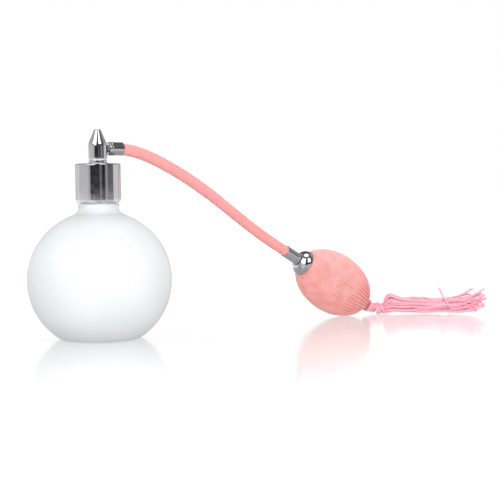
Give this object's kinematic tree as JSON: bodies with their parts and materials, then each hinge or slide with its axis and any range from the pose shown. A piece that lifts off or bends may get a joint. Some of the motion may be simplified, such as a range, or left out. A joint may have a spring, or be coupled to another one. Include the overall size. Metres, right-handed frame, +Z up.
{
  "type": "perfume bottle",
  "caption": "Round frosted-glass perfume bottle with a chrome collar and spray head, and a braided hose to a netted squeeze bulb with a tassel.",
  "frame": {"origin": "centre of the bottle's flat foot, on the bottle's axis, at table height", "axes": "+Z up along the bottle, collar and spray head; +X from the bottle's axis towards the hose and bulb, in the vertical plane that the hose lies in; -X is where the nozzle points"},
  "size_m": [0.2663, 0.0835, 0.1048],
  "materials": {
    "frosted_glass": "white acid-frosted glass, satin",
    "chrome_trim": "bright chrome plate",
    "white_plastic": "plain moulded white",
    "clear_plastic": "natural translucent tube",
    "seal_foam": "soft white foamed gasket",
    "black_rubber": "black nitrile",
    "hose_rubber": "pale silicone tube",
    "bulb_rubber": "pink latex, matt",
    "braid_pink": "salmon pink ribbed braid",
    "net_pink": "salmon pink knitted net",
    "tassel_pink": "cool pink rayon thread"
  },
  "bodies": {
    "bottle": {"glass_bottle": "frosted_glass"},
    "sprayer": {"stem_housing": "white_plastic", "stem_seal": "black_rubber", "dip_tube": "clear_plastic", "neck_gasket": "seal_foam"},
    "collar": {"collar_shell": "chrome_trim", "collar_liner": "white_plastic"},
    "head": {"head_ring": "chrome_trim", "spray_head": "chrome_trim", "head_core": "white_plastic", "nozzle_insert": "chrome_trim", "air_spigot": "chrome_trim", "head_ferrule": "chrome_trim", "hose_tube": "hose_rubber", "hose_sleeve": "braid_pink", "bulb_ferrule": "chrome_trim", "bulb_cap": "chrome_trim", "outlet_valve_body": "white_plastic", "outlet_valve_seat": "white_plastic", "bulb_bladder": "bulb_rubber", "bulb_net": "net_pink", "intake_valve_body": "white_plastic", "intake_valve_cage": "white_plastic", "net_drawstring": "tassel_pink"},
    "outlet_valve": {"outlet_valve_disc": "black_rubber"},
    "intake_valve": {"intake_valve_disc": "black_rubber"},
    "tassel": {"tassel_knot": "tassel_pink", "tassel_binding": "tassel_pink", "tassel_skirt": "tassel_pink"}
  },
  "joints": [
    {"name": "sprayer_lift", "type": "slide", "parent": "bottle", "child": "sprayer", "axis": [0, 0, 1], "range_m": [0, 0.085]},
    {"name": "collar_turn", "type": "hinge", "parent": "sprayer", "child": "collar", "pos_m": [0, 0, 0.0779], "axis": [0, 0, 1], "continuous": true},
    {"name": "head_swivel", "type": "hinge", "parent": "sprayer", "child": "head", "pos_m": [0, 0, 0.09], "axis": [0, 0, 1], "continuous": true},
    {"name": "bulb_squeeze", "type": "slide", "parent": "head", "child": "outlet_valve", "axis": [-0.866, 0, 0.5], "range_m": [0, 0.0009], "deforming": ["bulb_bladder", "bulb_net"]},
    {"name": "intake_valve_open", "type": "slide", "parent": "head", "child": "intake_valve", "axis": [-0.866, 0, 0.5], "range_m": [0, 0.0009]},
    {"name": "tassel_swing", "type": "hinge", "parent": "head", "child": "tassel", "pos_m": [0.1784, 0, 0.0035], "axis": [0, 0, 1], "range_deg": [-40, 60]}
  ]
}
